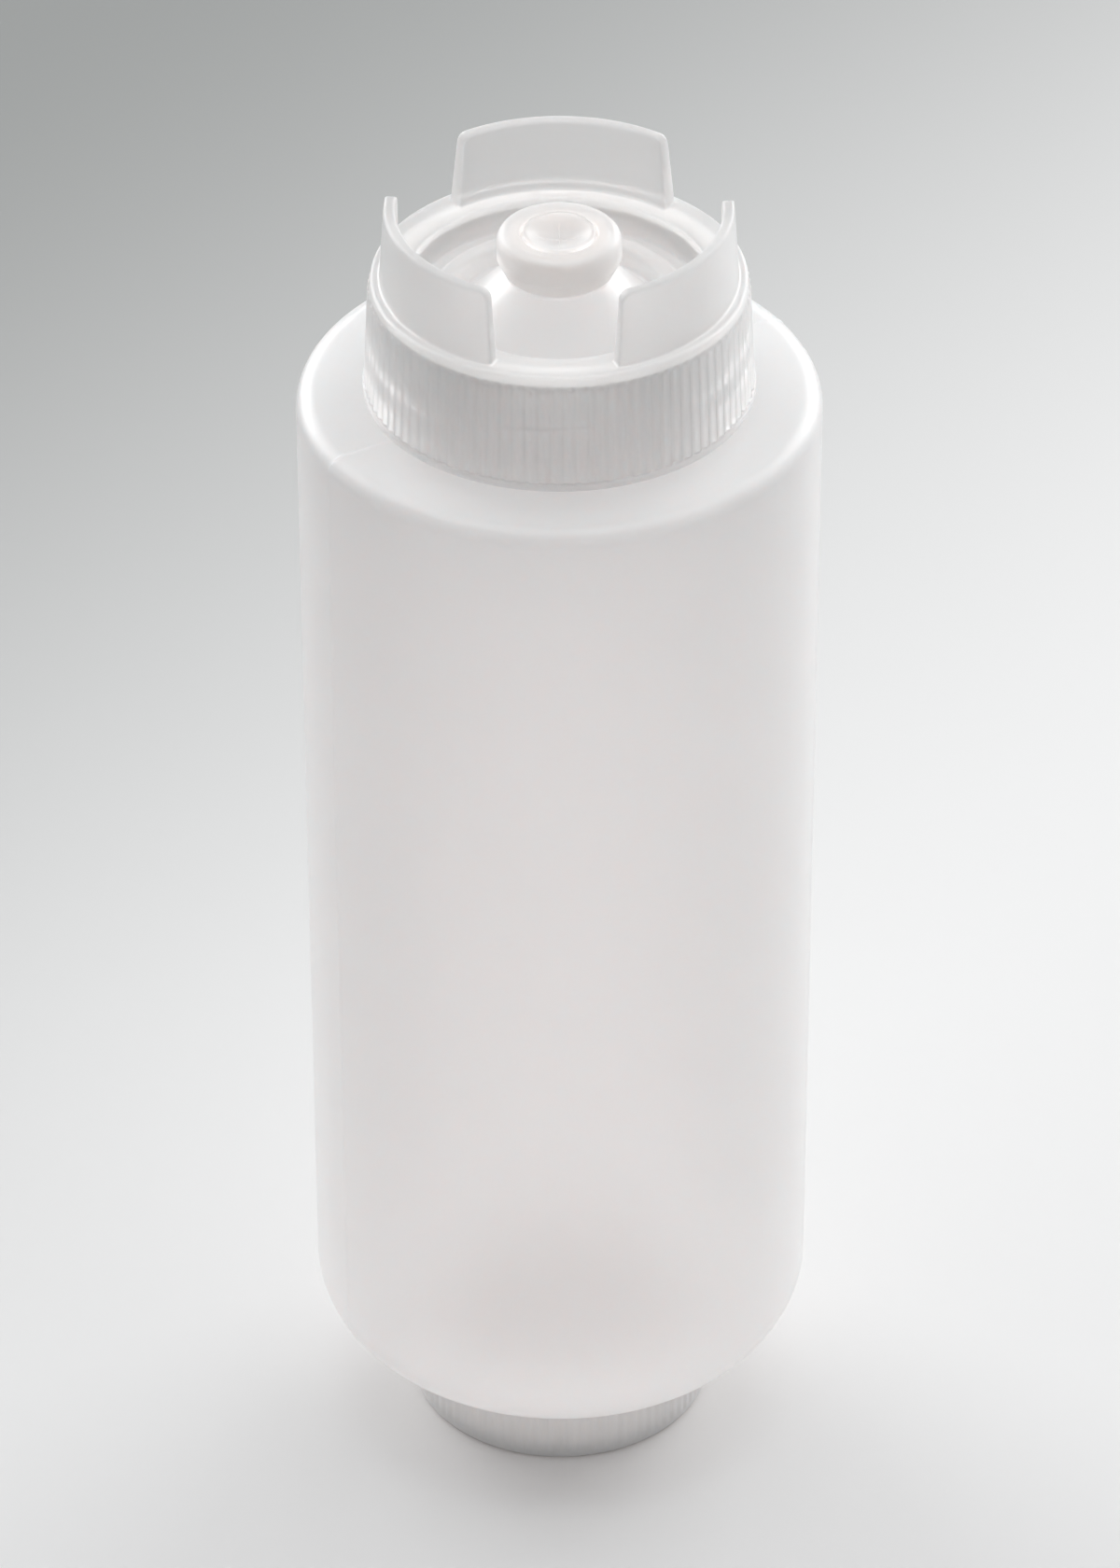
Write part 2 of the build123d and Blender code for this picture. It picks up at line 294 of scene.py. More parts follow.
class Shell:
    """Collects rings of vertices and the faces between them, and makes one closed mesh of them.

    Attributes:
        points: Place of each vertex, and 1 where it is marked for the grip ribs or else 0.
        faces: Numbers of the vertices of each face, in order, as seen from outside.
    """

    def __init__(self) -> None:
        """Start an empty shell."""
        self.points: list[tuple[float, ...]] = []
        self.faces: list[tuple[int, ...]] = []

    def add_point(self, point: Sequence[float]) -> int:
        """Add one vertex, as its place and its mark, and return its number."""
        self.points.append(tuple(point))
        return len(self.points) - 1

    def add(self, radius: float, height: float, heading: float, mark: float = 0.0) -> int:
        """Add one vertex at a heading and return its number."""
        return self.add_point((radius * math.cos(heading), radius * math.sin(heading), height, mark))

    def ring(self, station: Station, headings: np.ndarray, relief: np.ndarray | float = 0.0) -> Ring:
        """Add a ring of vertices.

        Args:
            station: Where the ring crosses the outline.
            headings: Heading of each vertex.
            relief: How far each vertex stands out of the outline.

        Returns:
            The new ring. On a ribbed run, its vertices are marked for the grip ribs.
        """
        places = np.broadcast_to(station.place + station.out * np.asarray(relief), headings.shape)
        mark = float(station.run is Run.RIBS)
        numbers = [self.add(place.real, place.imag, turn, mark) for place, turn in zip(places, headings)]
        return Ring(np.array(numbers), headings)

    def course(
        self, stations: Sequence[Station], headings: np.ndarray, reliefs: Mapping[Run, Relief] | None = None
    ) -> list[Ring]:
        """Add a ring at every station.

        Args:
            stations: The stations in order.
            headings: Heading of each vertex of a ring.
            reliefs: What stands out of the runs that carry something.

        Returns:
            The new rings.
        """
        rings = []
        for station in stations:
            carried = (reliefs or {}).get(station.run)
            relief = carried.relief(headings, station.place.imag) if carried else 0.0
            rings.append(self.ring(station, headings, relief))
        return rings

    def loft(self, rings: Sequence[Ring]) -> None:
        """Join rings, whatever their numbers of vertices.

        Args:
            rings: The rings in the order of the outline.
        """
        for first, second in zip(rings, rings[1:]):
            near, far = first.numbers, second.numbers
            if len(near) == len(far):
                self.faces += zip(near, np.roll(near, -1), np.roll(far, -1), far)
            else:
                self._zip(first, second)

    def _zip(self, first: Ring, second: Ring) -> None:
        """Join two rings of unlike numbers of vertices with triangles.

        Args:
            first: The ring that comes first on the outline.
            second: The ring after it.
        """
        base, slack = first.headings[0], 0.25
        shift = int(np.argmin(np.abs(np.angle(np.exp(1j * (second.headings - base))))))
        numbers, turned = np.roll(second.numbers, -shift), np.roll(second.headings, -shift)
        near = np.unwrap(np.append(first.headings, base) - base)
        far = np.unwrap((np.append(turned, turned[0]) - base + slack) % TURN - slack)
        count, other = len(first.numbers), len(numbers)
        i = j = 0
        while i < count or j < other:
            here, there = first.numbers[i % count], numbers[j % other]
            if j >= other or (i < count and near[i + 1] <= far[j + 1]):
                i += 1
                self.faces.append((here, first.numbers[i % count], there))
            else:
                j += 1
                self.faces.append((here, numbers[j % other], there))

    def cap_start(self, height: float, ring: Ring) -> None:
        """Close the shell on the axis before its first ring."""
        pole = self.add(0.0, height, 0.0)
        self.faces += [(pole, b, a) for a, b in zip(ring.numbers, np.roll(ring.numbers, -1))]

    def cap_end(self, ring: Ring, height: float) -> None:
        """Close the shell on the axis after its last ring."""
        pole = self.add(0.0, height, 0.0)
        self.faces += [(a, b, pole) for a, b in zip(ring.numbers, np.roll(ring.numbers, -1))]

    def piece(self, name: str, crease: float = math.radians(32.0)) -> bpy.types.Object:
        """Make the mesh object.

        Args:
            name: Name of the piece.
            crease: Edges that turn by more than this stay sharp.

        Returns:
            The new object, at the origin, with its place in its mesh.
        """
        mesh = bpy.data.meshes.new(name)
        points = np.array(self.points)
        mesh.from_pydata((points[:, :3] * MM).tolist(), [], [tuple(map(int, face)) for face in self.faces])
        mesh.attributes.new(RIB_ZONE, "FLOAT", "POINT").data.foreach_set("value", points[:, 3].tolist())
        mesh.update()
        mesh.shade_smooth()
        mesh.set_sharp_from_angle(angle=crease)
        piece = bpy.data.objects.new(name, mesh)
        bpy.context.scene.collection.objects.link(piece)
        return piece


class Wiring:
    """Adds nodes to a tree and links them, so that a formula reads in one line."""

    def __init__(self, tree: bpy.types.NodeTree) -> None:
        """Keep the tree that the nodes go into."""
        self.tree = tree

    def node(self, kind: str, *sources: object, **settings: object) -> bpy.types.Node:
        """Add a node.

        Args:
            kind: Type of the node.
            sources: Sockets or values for its first inputs, in order.
            settings: Its properties.

        Returns:
            The new node.
        """
        made = self.tree.nodes.new(kind)
        for name, value in settings.items():
            setattr(made, name, value)
        for source, target in zip(sources, made.inputs):
            self.join(source, target)
        return made

    def join(self, source: object, target: bpy.types.NodeSocket) -> None:
        """Feed an input.

        Args:
            source: A socket to link, or else a plain value to set.
            target: The input.
        """
        if isinstance(source, bpy.types.NodeSocket):
            self.tree.links.new(source, target)
        else:
            target.default_value = source

    def feed(self, node: bpy.types.Node, **sources: object) -> bpy.types.Node:
        """Feed inputs of a node by name.

        Args:
            node: The node.
            sources: Sockets or values, under the names of the inputs with _ for each space.

        Returns:
            The node.
        """
        for name, source in sources.items():
            self.join(source, node.inputs[name.replace("_", " ")])
        return node

    def math(self, operation: str, *values: object) -> bpy.types.NodeSocket:
        """Add a Math node in a shader or geometry tree and return its output."""
        return self.node("ShaderNodeMath", *values, operation=operation).outputs[0]

    def times(self, first: object, second: object) -> bpy.types.NodeSocket:
        """Return a product."""
        return self.math("MULTIPLY", first, second)

    def length(self, first: object, second: object) -> bpy.types.NodeSocket:
        """Return the length of the diagonal over two sides."""
        squares = self.math("ADD", self.times(first, first), self.times(second, second))
        return self.math("SQRT", squares)

    def ramp(self, value: object, start: object, end: object, *levels: float) -> bpy.types.NodeSocket:
        """Return a smooth change between two levels as a value goes from start to end."""
        made = self.node("ShaderNodeMapRange", value, start, end, *levels, interpolation_type="SMOOTHSTEP")
        return made.outputs[0]

    def blend(self, share: object, first: Sequence[float], second: Sequence[float]) -> bpy.types.NodeSocket:
        """Return a mix of two colours, with a share of the second one."""
        mix = self.node("ShaderNodeMix", data_type="RGBA")
        return self.feed(mix, Factor=share, A=(*first, 1.0), B=(*second, 1.0)).outputs["Result"]

    def noise(self, place: object, scale: float, detail: float) -> bpy.types.NodeSocket:
        """Return a noise pattern, with a number of finer layers."""
        noise = self.node("ShaderNodeTexNoise")
        return self.feed(noise, Vector=place, Scale=scale, Detail=detail).outputs[0]


class End(Enum):
    """An end of a skirt, as its direction along the axis."""

    UPPER = 1.0
    LOWER = -1.0


@dataclass(frozen=True)
class GripRibs:
    """Grip ribs that stand out of a skirt all round, each with one rounded end.

    Attributes:
        count: Number of ribs.
        height: How far a rib stands out of the skirt.
        foot_width: Width of a rib at the skirt.
        crest_width: Width of a rib at its crest.
        end: Which end is rounded.
        end_level: Level of the middle of that end.
        columns: Steps of the mesh across one rib and one gap.
    """

    count: int
    height: float
    foot_width: float
    crest_width: float
    end: End
    end_level: float
    columns: int = 10

    def headings(self) -> np.ndarray:
        """Return headings that give every rib the same steps."""
        return even_headings(self.count * self.columns)

    def tree(self) -> bpy.types.GeometryNodeTree:
        """Build the node tree that raises ribs on the marked vertices of a skirt.

        Returns:
            The tree, with named inputs for the sizes and the finish.
        """
        tree = bpy.data.node_groups.new("grip_ribs", "GeometryNodeTree")
        kinds = {"Skirt": "Geometry", "Ribs": "Int", "Height": "Float", "Foot width": "Float",
                 "Crest width": "Float", "End level": "Float", "End side": "Float", "Finish": "Material"}
        for name, kind in kinds.items():
            tree.interface.new_socket(name, in_out="INPUT", socket_type="NodeSocket" + kind)
        tree.interface.new_socket("Ribbed skirt", in_out="OUTPUT", socket_type="NodeSocketGeometry")
        wiring = Wiring(tree)
        given = wiring.node("NodeGroupInput").outputs
        place = wiring.node("GeometryNodeInputPosition").outputs[0]
        across, depth, level = wiring.node("ShaderNodeSeparateXYZ", place).outputs
        reach = wiring.length(across, depth)
        heading = wiring.math("SUBTRACT", wiring.math("ARCTAN2", depth, across), FRONT)
        pitches = wiring.math("DIVIDE", wiring.times(heading, given["Ribs"]), TURN)
        share = wiring.math("WRAP", pitches, 0.5, -0.5)
        pitch = wiring.math("DIVIDE", wiring.times(reach, TURN), given["Ribs"])
        beyond = wiring.times(wiring.math("SUBTRACT", level, given["End level"]), given["End side"])
        distance = wiring.length(wiring.times(share, pitch), wiring.math("MAXIMUM", beyond, 0.0))
        crest = wiring.math("DIVIDE", given["Crest width"], 2.0)
        foot = wiring.math("DIVIDE", given["Foot width"], 2.0)
        rise = wiring.times(wiring.ramp(distance, crest, foot, 1.0, 0.0), given["Height"])
        marked = wiring.node("GeometryNodeInputNamedAttribute", RIB_ZONE, data_type="FLOAT")
        lift = wiring.times(rise, marked.outputs["Attribute"])
        parts = [wiring.math("DIVIDE", wiring.times(part, lift), reach) for part in (across, depth)]
        outward = wiring.node("ShaderNodeCombineXYZ", *parts).outputs[0]
        raised = wiring.feed(wiring.node("GeometryNodeSetPosition", given["Skirt"]), Offset=outward)
        real = wiring.node("GeometryNodeRealizeInstances", raised.outputs[0])
        dressed = wiring.node("GeometryNodeSetMaterial", real.outputs[0])
        wiring.feed(dressed, Material=given["Finish"])
        wiring.node("NodeGroupOutput", dressed.outputs[0])
        return tree

    def raise_on(self, piece: bpy.types.Object, finish: bpy.types.Material) -> None:
        """Raise the ribs on a piece and keep the result as its plain mesh.

        Args:
            piece: The piece, with its ribbed stretch marked.
            finish: The material that the piece gets.
        """
        modifier = piece.modifiers.new("grip_ribs", "NODES")
        modifier.node_group = self.tree()
        values = {
            "Ribs": self.count,
            "Height": self.height * MM,
            "Foot width": self.foot_width * MM,
            "Crest width": self.crest_width * MM,
            "End level": self.end_level * MM,
            "End side": self.end.value,
            "Finish": finish,
        }
        for item in modifier.node_group.interface.items_tree:
            if item.in_out == "INPUT" and item.name in values:
                modifier[item.identifier] = values[item.name]
        bpy.context.view_layer.update()
        seen = piece.evaluated_get(bpy.context.evaluated_depsgraph_get())
        mesh = bpy.data.meshes.new_from_object(seen)
        piece.modifiers.clear()
        plain, piece.data = piece.data, mesh
        bpy.data.meshes.remove(plain)
        mesh.name = piece.name


@dataclass(frozen=True)
class MouldedPlastic:
    """A translucent moulded plastic.

    Attributes:
        name: Name of the material.
        color: Main colour.
        tint: Second colour, which drifts in softly.
        roughness: Mean roughness of the skin.
        depth: Mean distance that light travels inside, in millimetres, for red, green and blue.
        clear: Share of the light that passes the skin, where it meets the wall head on.
        veil: How much of that share is scattered instead where the light grazes a wall.
        bloom: Strength of the soft brightening along the edges.
        bloom_spread: How far that brightening reaches in from an edge.
        passed: Colour of the lamp light that each face lets through.
        grain: Height of the fine mould texture, in millimetres.
        waviness: Height of the slow waves of the wall, in millimetres.
        index: Index of refraction.
        drift_scale: Scale of the drift between the two colours.
        patch_scale: Scale of the patches of unlike roughness.
        patch_range: Difference in roughness between those patches.
        wave_scale: Scale of the slow waves.
        grain_scale: Scale of the fine texture.
    """

    name: str
    color: tuple[float, float, float]
    tint: tuple[float, float, float]
    roughness: float = 0.38
    depth: tuple[float, float, float] = (4.0, 3.8, 3.6)
    clear: float = 0.0
    veil: float = 0.7
    bloom: float = 0.2
    bloom_spread: float = 0.35
    passed: tuple[float, float, float] = (0.5, 0.49, 0.48)
    grain: float = 0.004
    waviness: float = 0.03
    index: float = 1.5
    drift_scale: float = 22.0
    patch_scale: float = 160.0
    patch_range: float = 0.08
    wave_scale: float = 45.0
    grain_scale: float = 2200.0

    def material(self) -> bpy.types.Material:
        """Build the material.

        Returns:
            The new material. The light of the lamps passes each of its faces straight on.
        """
        material = bpy.data.materials.new(self.name)
        material.use_nodes = True
        nodes = material.node_tree.nodes
        wiring = Wiring(material.node_tree)
        place = wiring.node("ShaderNodeTexCoord").outputs["Object"]
        drift = wiring.noise(place, self.drift_scale, 2.0)
        patches = wiring.noise(place, self.patch_scale, 3.0)
        smoothest = self.roughness - self.patch_range / 2.0
        grazing = wiring.node("ShaderNodeLayerWeight", 0.5).outputs["Facing"]
        slant = wiring.math("POWER", grazing, 2.0)
        passing = wiring.math("MULTIPLY_ADD", slant, -self.clear * self.veil, self.clear)
        inside = wiring.node("ShaderNodeNewGeometry").outputs["Backfacing"]
        shader = wiring.feed(
            nodes["Principled BSDF"],
            Base_Color=wiring.blend(drift, self.color, self.tint),
            Roughness=wiring.math("MULTIPLY_ADD", patches, self.patch_range, smoothest),
            IOR=self.index,
            Subsurface_Weight=1.0,
            Subsurface_Radius=self.depth,
            Subsurface_Scale=MM,
            Sheen_Weight=self.bloom,
            Sheen_Roughness=self.bloom_spread,
            Transmission_Weight=wiring.math("MAXIMUM", inside, passing),
            Normal=self._relief(wiring, place),
        )
        glow = wiring.node("ShaderNodeBsdfTransparent", (*self.passed, 1.0))
        shadow = wiring.node("ShaderNodeLightPath").outputs["Is Shadow Ray"]
        choice = wiring.node("ShaderNodeMixShader", shadow, shader.outputs[0], glow.outputs[0])
        output = next(node for node in nodes if node.type == "OUTPUT_MATERIAL")
        wiring.join(choice.outputs[0], output.inputs["Surface"])
        return material

    def _relief(self, wiring: Wiring, place: bpy.types.NodeSocket) -> bpy.types.NodeSocket:
        """Add the slow waves, and the mould texture over them.

        Args:
            wiring: The material's tree.
            place: Where the patterns are read.

        Returns:
            The output with the bumped normal.
        """
        waves = wiring.noise(place, self.wave_scale, 1.0)
        grain = wiring.noise(place, self.grain_scale, 2.0)
        under = wiring.feed(wiring.node("ShaderNodeBump"), Distance=self.waviness * MM, Height=waves)
        over = wiring.feed(wiring.node("ShaderNodeBump"), Distance=self.grain * MM, Height=grain)
        return wiring.feed(over, Normal=under.outputs[0]).outputs[0]


@dataclass
class Piece:
    """What every piece of the bottle has: a name, the node it stands for, its body and its slot."""

    name: str
    node: str
    body: str
    slot: str
    finish: MouldedPlastic

    def shape(self) -> bpy.types.Object:
        """Make the piece's mesh object."""
        raise NotImplementedError

    def turned(
        self, corners: Sequence[Corner], headings: np.ndarray, reliefs: Mapping[Run, Relief] | None = None
    ) -> bpy.types.Object:
        """Turn a closed outline about the axis.

        Args:
            corners: The corners in order. The last one is on the first.
            headings: Heading of each vertex of a ring.
            reliefs: What stands out of the runs that carry something.

        Returns:
            The mesh object.
        """
        shell = Shell()
        rings = shell.course(Tracer().trace(corners)[:-1], headings, reliefs)
        shell.loft([*rings, rings[0]])
        return shell.piece(self.name)

    def dress(self, piece: bpy.types.Object) -> None:
        """Give the piece its material."""
        piece.data.materials.clear()
        piece.data.materials.append(self.finish.material())

    def build(self) -> bpy.types.Object:
        """Make the piece, dress it and hand it to the frame.

        Returns:
            The piece's object.
        """
        piece = self.shape()
        self.dress(piece)
        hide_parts(self.node)
        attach(piece, self.body)
        return piece


@dataclass
class Bottle(Piece):
    """The blow-moulded bottle: one thin wall with a threaded neck at each end."""

    body_radius: float = 38.0
    wall: float = 1.2
    lower_round: float = 10.0
    upper_round: float = 2.7
    lower_shoulder: float = 15.7
    upper_shoulder: float = 184.9
    neck_radius: float = 24.3
    neck_bore: float = 22.75
    lip: float = 200.6
    refill_neck_radius: float = 20.5
    refill_neck_bore: float = 18.9
    refill_lip: float = 3.2
    neck_round: float = 0.8
    lip_round: float = 0.35
    columns: int = 288
    thread: Thread = Thread(
        lead=5.0, height=1.0, foot_width=2.3, crest_width=0.9, front_level=196.5, low=188.0, high=198.7
    )
    refill_thread: Thread = Thread(
        lead=4.2, height=0.9, foot_width=2.0, crest_width=0.8, front_level=8.6, low=4.9, high=13.2
    )

    def corners(self) -> list[Corner]:
        """Draw the outline of the wall.

        Returns:
            Its corners, from the middle of its inside down and round to there.
        """
        inner = self.body_radius - self.wall
        middle = (self.lower_shoulder + self.upper_shoulder) / 2.0
        floor = self.lower_shoulder + self.wall
        roof = self.upper_shoulder - self.wall
        return [
            Corner(inner, middle, steps=10),
            Corner(inner, floor, self.lower_round - self.wall),
            Corner(self.refill_neck_bore, floor, self.neck_round),
            Corner(self.refill_neck_bore, self.refill_lip, self.lip_round),
            Corner(self.refill_neck_radius, self.refill_lip, self.lip_round, 56, Run.REFILL_THREAD),
            Corner(self.refill_neck_radius, self.lower_shoulder, self.neck_round, 4, Run.SEAM),
            Corner(self.body_radius, self.lower_shoulder, self.lower_round, 24, Run.SEAM),
            Corner(self.body_radius, self.upper_shoulder, self.upper_round, 6, Run.SEAM),
            Corner(self.neck_radius, self.upper_shoulder, self.neck_round, 70, Run.THREAD),
            Corner(self.neck_radius, self.lip, self.lip_round),
            Corner(self.neck_bore, self.lip, self.lip_round),
            Corner(self.neck_bore, roof, self.neck_round),
            Corner(inner, roof, self.upper_round - self.wall, 10),
            Corner(inner, middle),
        ]

    def shape(self) -> bpy.types.Object:
        """Make the bottle.

        Returns:
            The mesh object.
        """
        seam = Seam(self.body_radius)
        reliefs = {Run.THREAD: self.thread, Run.REFILL_THREAD: self.refill_thread, Run.SEAM: seam}
        headings = seam.with_headings(even_headings(self.columns) % TURN)
        return self.turned(self.corners(), headings, reliefs)


@dataclass(frozen=True)
class Level:
    """One level of a prong: its height over the deck, and how far its footprint is drawn in."""

    height: float
    end_inset: float = 0.0
    side_inset: float = 0.0


@dataclass(frozen=True)
class Deck:
    """The top of the dispensing cap, which falls a little towards the well.

    Attributes:
        level_out: Level at its outer edge.
        radius_out: Radius of that edge.
        level_in: Level at its inner edge.
        radius_in: Radius of that edge.
        blend: Height over which a prong loses the deck's slope.
    """

    level_out: float
    radius_out: float
    level_in: float
    radius_in: float
    blend: float = 3.0

    def level(self, radius: float, height: float = 0.0) -> float:
        """Find a level on the deck or on a prong.

        Args:
            radius: Distance from the axis.
            height: Height over the deck, or 0 on it.

        Returns:
            The level above the standing face.
        """
        share = (radius - self.radius_in) / (self.radius_out - self.radius_in)
        below = self.level_in + (self.level_out - self.level_in) * share
        return below + (self.level_out - below) * min(1.0, height / self.blend) + height


@dataclass(frozen=True)
class Crown:
    """Three leaning prongs that grow out of the deck with rounded feet, ends and tips.

    Attributes:
        count: Number of prongs.
        heading: Heading of the middle of the first prong.
        height: Height of the tips over the deck.
        foot_bore: Inner radius at the foot.
        foot_radius: Outer radius at the foot.
        tip_bore: Inner radius at the tip.
        tip_radius: Outer radius at the tip.
        foot_angle: Angle that a prong spans at its foot.
        tip_angle: Angle that a prong spans at its tip.
        corner_round: Round of the tip's two corners, seen from outside.
        edge_round: Round of the tip's long edges.
        end_round: Round of the upright edges.
        end_share: The most of half the wall that this round may take.
        foot_round: Round in the corner between a prong and the deck.
        support: Distance from a round to the supporting level next to it.
        foot_levels: Number of levels in the round of the foot.
        tip_levels: Number of levels in the round of the tip's corners.
        columns: Steps along a prong.
        gap_columns: Steps along a gap.
        rows: Steps across the wall of a prong.
        arc: Steps of each half of a rounded upright edge.
    """

    count: int = 3
    heading: float = math.radians(88.5)
    height: float = 11.4
    foot_bore: float = 23.3
    foot_radius: float = 25.7
    tip_bore: float = 23.2
    tip_radius: float = 24.9
    foot_angle: float = math.radians(79.0)
    tip_angle: float = math.radians(75.0)
    corner_round: float = 1.5
    edge_round: float = 0.5
    end_round: float = 0.35
    end_share: float = 0.8
    foot_round: float = 0.3
    support: float = 0.6
    foot_levels: int = 4
    tip_levels: int = 9
    columns: int = 52
    gap_columns: int = 28
    rows: int = 6
    arc: int = 2

    def levels(self) -> list[Level]:
        """Divide a prong.

        Returns:
            Its levels, from its foot to its tip.
        """
        turns = np.linspace(0.0, TURN / 4.0, self.foot_levels)
        insets = [(turn, self.foot_round * (math.sin(turn) - 1.0)) for turn in turns]
        foot = [Level(self.foot_round * (1.0 - math.cos(turn)), inset, inset) for turn, inset in insets]
        start = self.height - self.corner_round
        heights = (self.support, 2.0 * self.support, start / 2.0, start - self.support)
        tip = [self._tip_level(start, turn) for turn in np.linspace(0.0, TURN / 4.0, self.tip_levels)]
        return foot + [Level(height) for height in heights] + tip

    def _tip_level(self, start: float, turn: float) -> Level:
        """Find a level in the round of the tip's corners.

        Args:
            start: Height over the deck where the round starts.
            turn: How far round it the level is.

        Returns:
            The level, also drawn in at the sides where the round of the long edges has started.
        """
        height = start + self.corner_round * math.sin(turn)
        over = max(0.0, height - (self.height - self.edge_round))
        side = self.edge_round - math.sqrt(max(0.0, self.edge_round**2 - over**2))
        return Level(height, self.corner_round * (1.0 - math.cos(turn)), side)

    def footprint(self, level: Level) -> tuple[np.ndarray, float]:
        """Draw the outline of a prong at one level.

        Args:
            level: The level.

        Returns:
            A closed loop, and the middle radius of the wall. A point of the loop is the complex number
            way along the wall + way across it j. The loop goes along the inner side, outwards at the
            far end, back along the outer side and inwards at the near end.
        """
        share = level.height / self.height
        bore = self.foot_bore + (self.tip_bore - self.foot_bore) * share + level.side_inset
        radius = self.foot_radius + (self.tip_radius - self.foot_radius) * share - level.side_inset
        middle = (bore + radius) / 2.0
        half_wall = (radius - bore) / 2.0
        spread = self.foot_angle + (self.tip_angle - self.foot_angle) * share
        half_length = spread * middle / 2.0 - level.end_inset
        bend = min(self.end_round, self.end_share * half_wall)
        along = self._side(half_length, half_wall, bend, self.columns)
        across = 1j * self._side(half_wall, half_length, bend, self.rows)[1:-1]
        return np.concatenate((along, across, along.conj()[::-1], -across.conj()[::-1])), middle

    def _side(self, half: float, offset: float, bend: float, steps: int) -> np.ndarray:
        """Draw one side of a rounded rectangle.

        Args:
            half: Half its length.
            offset: Its distance from the middle.
            bend: Radius of the rounded corners.
            steps: Number of steps.

        Returns:
            Its points, from the middle of one corner to that of the next.
        """
        corner = bend * np.exp(1j * np.radians(225.0 + 45.0 * np.arange(self.arc + 1) / self.arc))
        start = corner + (bend - half) + 1j * (bend - offset)
        straight = np.linspace(bend - half, half - bend, steps - 2 * self.arc + 1)[1:-1] - 1j * offset
        return np.concatenate((start, straight, -start.conj()[::-1]))

    def headings(self) -> np.ndarray:
        """Divide the deck round the axis.

        Returns:
            The headings of the columns that prongs and gaps share with the deck.
        """
        loop, middle = self.footprint(self.levels()[0])
        prong = loop[: self.columns + 1].real / middle
        pitch = TURN / self.count
        gap = np.linspace(prong[-1], pitch + prong[0], self.gap_columns + 1)[1:-1]
        one = np.concatenate((prong, gap))
        return np.concatenate([self.heading + pitch * k + one for k in range(self.count)])

    def raise_on(self, shell: Shell, deck: Deck) -> tuple[Ring, Ring]:
        """Add the ring of deck that carries the prongs, and the prongs on it.

        Args:
            shell: The shell that they become part of.
            deck: The deck's slope.

        Returns:
            The outer and the inner ring of that part of the deck.
        """
        headings = self.headings()
        grid = np.full((self.rows + 1, len(headings)), -1)
        loop, middle = self.footprint(self.levels()[0])
        radii = middle + loop[self.columns : self.columns + self.rows + 1].imag
        span = self.columns + self.gap_columns
        for k in range(self.count):
            turned = self.heading + TURN * k / self.count
            below = self._loop(shell, deck, turned, self.levels()[0])
            last = k * span + self.columns
            grid[:, k * span : last + 1] = self._border(below)
            for row, radius in enumerate(radii):
                for column in range(last + 1, (k + 1) * span):
                    grid[row, column] = shell.add(radius, deck.level(radius), headings[column])
            for level in self.levels()[1:]:
                above = self._loop(shell, deck, turned, level)
                shell.faces += zip(below, above, np.roll(above, -1), np.roll(below, -1))
                below = above
            self._tip(shell, below)
        gaps = [column for column in range(len(headings)) if column % span >= self.columns]
        self._pave(shell, grid, gaps)
        return Ring(grid[-1], headings), Ring(grid[0], headings)

    def _loop(self, shell: Shell, deck: Deck, turned: float, level: Level) -> np.ndarray:
        """Add the vertices of one prong's outline at one level.

        Args:
            shell: The shell that it becomes part of.
            deck: The deck's slope.
            turned: Heading of the prong's middle.
            level: The level.

        Returns:
            The numbers of the vertices, in the order of the loop.
        """
        loop, middle = self.footprint(level)
        return np.array([
            shell.add(middle + point.imag, deck.level(middle + point.imag, level.height),
                      turned + point.real / middle)
            for point in loop
        ])

    def _border(self, loop: np.ndarray) -> np.ndarray:
        """Lay the vertices of a prong's outline round a grid.

        Args:
            loop: Their numbers, in the order of the loop.

        Returns:
            The grid, still open inside, with the inner side in its first row.
        """
        far, back = self.columns + self.rows, 2 * self.columns + self.rows
        grid = np.full((self.rows + 1, self.columns + 1), -1)
        grid[0] = loop[: self.columns + 1]
        grid[1:-1, -1] = loop[self.columns + 1 : far]
        grid[-1] = loop[far : back + 1][::-1]
        grid[1:-1, 0] = loop[back + 1 :][::-1]
        return grid

    def _tip(self, shell: Shell, loop: np.ndarray) -> None:
        """Close the top of one prong.

        Args:
            shell: The shell that it is part of.
            loop: Numbers of the vertices of its last outline.
        """
        grid = self._border(loop)
        for row in range(1, self.rows):
            for column in range(1, self.columns):
                inner, outer = (np.array(shell.points[grid[side, column]]) for side in (0, -1))
                grid[row, column] = shell.add_point(inner + (outer - inner) * row / self.rows)
        self._pave(shell, grid, range(self.columns))

    @staticmethod
    def _pave(shell: Shell, grid: np.ndarray, columns: Sequence[int]) -> None:
        """Add the faces between columns of a grid and the columns after them.

        Args:
            shell: The shell that gets the faces.
            grid: Numbers of the vertices.
            columns: The columns that are followed by faces.
        """
        for column in columns:
            near, far = grid[:, column], grid[:, (column + 1) % grid.shape[1]]
            shell.faces += zip(near, near[1:], far[1:], far)


@dataclass
class ScrewCap(Piece):
    """What both caps have: grip ribs outside and a thread inside."""

    ribs: GripRibs
    thread: Thread

    def dress(self, piece: bpy.types.Object) -> None:
        """Raise the ribs and give the cap its material."""
        self.ribs.raise_on(piece, self.finish.material())


